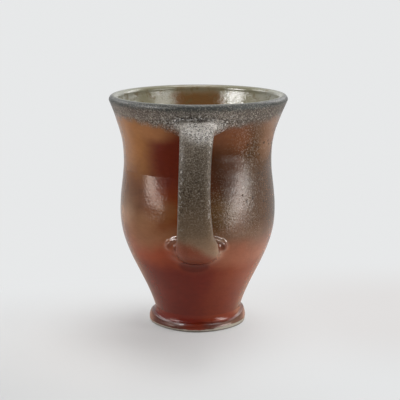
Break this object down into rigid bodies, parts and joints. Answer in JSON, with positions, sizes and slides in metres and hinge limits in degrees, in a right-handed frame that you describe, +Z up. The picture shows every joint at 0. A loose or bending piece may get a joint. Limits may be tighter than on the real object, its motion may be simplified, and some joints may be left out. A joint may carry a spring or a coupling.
{
  "type": "mug",
  "caption": "Wheel-thrown stoneware mug with a flared lip, full belly, narrow waist, spreading foot and a pulled strap handle.",
  "frame": {"origin": "centre of the foot's flat underside, on the axis the mug was thrown about", "axes": "+Z up along that axis, the handle towards -Y"},
  "size_m": [0.088, 0.118, 0.116],
  "materials": {
    "flashed_clay": "red-brown flashing with an orange-peel shine",
    "foot_clay": "dark red-brown, shiny, with a bare grey lower edge",
    "ash_glaze": "grey-brown speckled salt glaze",
    "liner_glaze": "glossy olive glaze, blue-grey on the lip"
  },
  "bodies": {
    "root": {"foot_base": "foot_clay", "body_wall": "flashed_clay", "handle_strap": "ash_glaze", "handle_upper_joint": "ash_glaze", "handle_lower_joint": "flashed_clay", "liner_glaze": "liner_glaze"}
  },
  "joints": []
}
